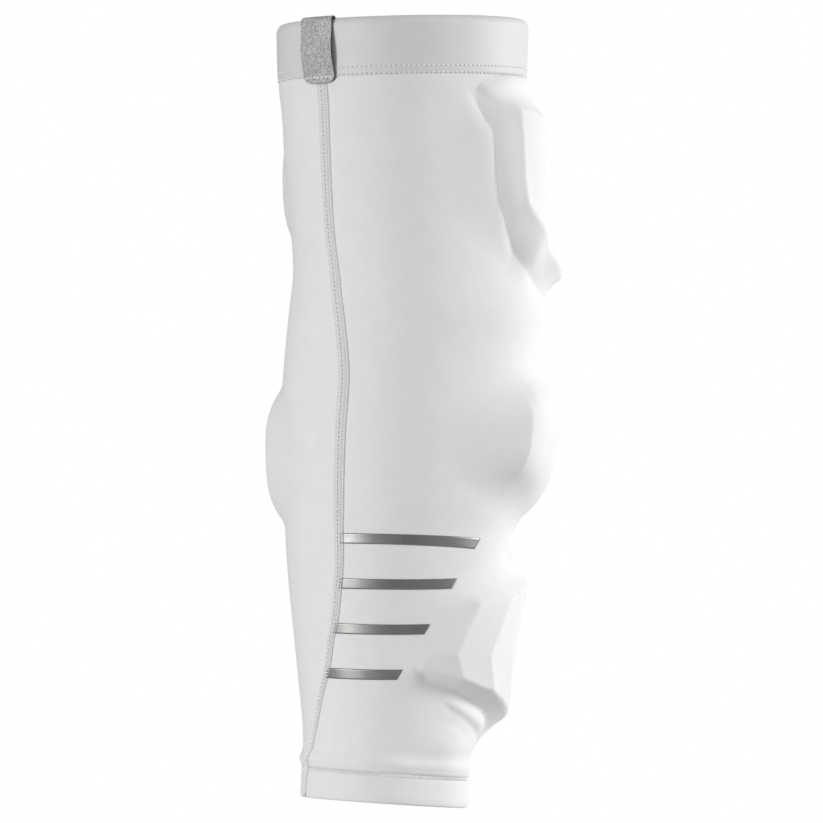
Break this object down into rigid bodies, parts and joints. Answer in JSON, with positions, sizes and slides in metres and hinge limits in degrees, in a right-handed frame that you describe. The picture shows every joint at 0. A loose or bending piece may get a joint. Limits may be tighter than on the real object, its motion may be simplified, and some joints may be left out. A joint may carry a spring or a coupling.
{
  "type": "lacrosse arm pad",
  "caption": "Knitted arm sleeve with foam pads over upper arm, elbow and forearm, an elastic cuff, a hem, a flatlock seam, a ribbon tab and reflective bars, shown as worn.",
  "frame": {"origin": "in the middle of the arm's way through the sleeve, level with the elbow", "axes": "+Z along the arm towards the shoulder, +Y out at the point of the elbow, +X to the side with the thick edges of the pads"},
  "size_m": [0.1415, 0.1339, 0.3777],
  "materials": {
    "sleeve_knit": "fine white jersey knit, drawn tight",
    "cuff_elastic": "white elastic covered with the same jersey",
    "hem_knit": "doubled white jersey",
    "seam_thread": "white flatlock stitching",
    "tab_ribbon": "grey grained ribbon, left bare",
    "reflective_film": "dark grey heat-sealed film with a satin sheen",
    "pad_foam": "closed-cell foam, hidden from outside by the knit"
  },
  "bodies": {
    "root": {"bottom_hem": "hem_knit", "elbow_pad": "pad_foam", "flatlock_seam": "seam_thread", "forearm_pad": "pad_foam", "reflective_bar_1": "reflective_film", "reflective_bar_2": "reflective_film", "reflective_bar_3": "reflective_film", "reflective_bar_4": "reflective_film", "ribbon_tab": "tab_ribbon", "sleeve_body": "sleeve_knit", "top_cuff": "cuff_elastic", "upper_arm_pad": "pad_foam"}
  },
  "joints": []
}
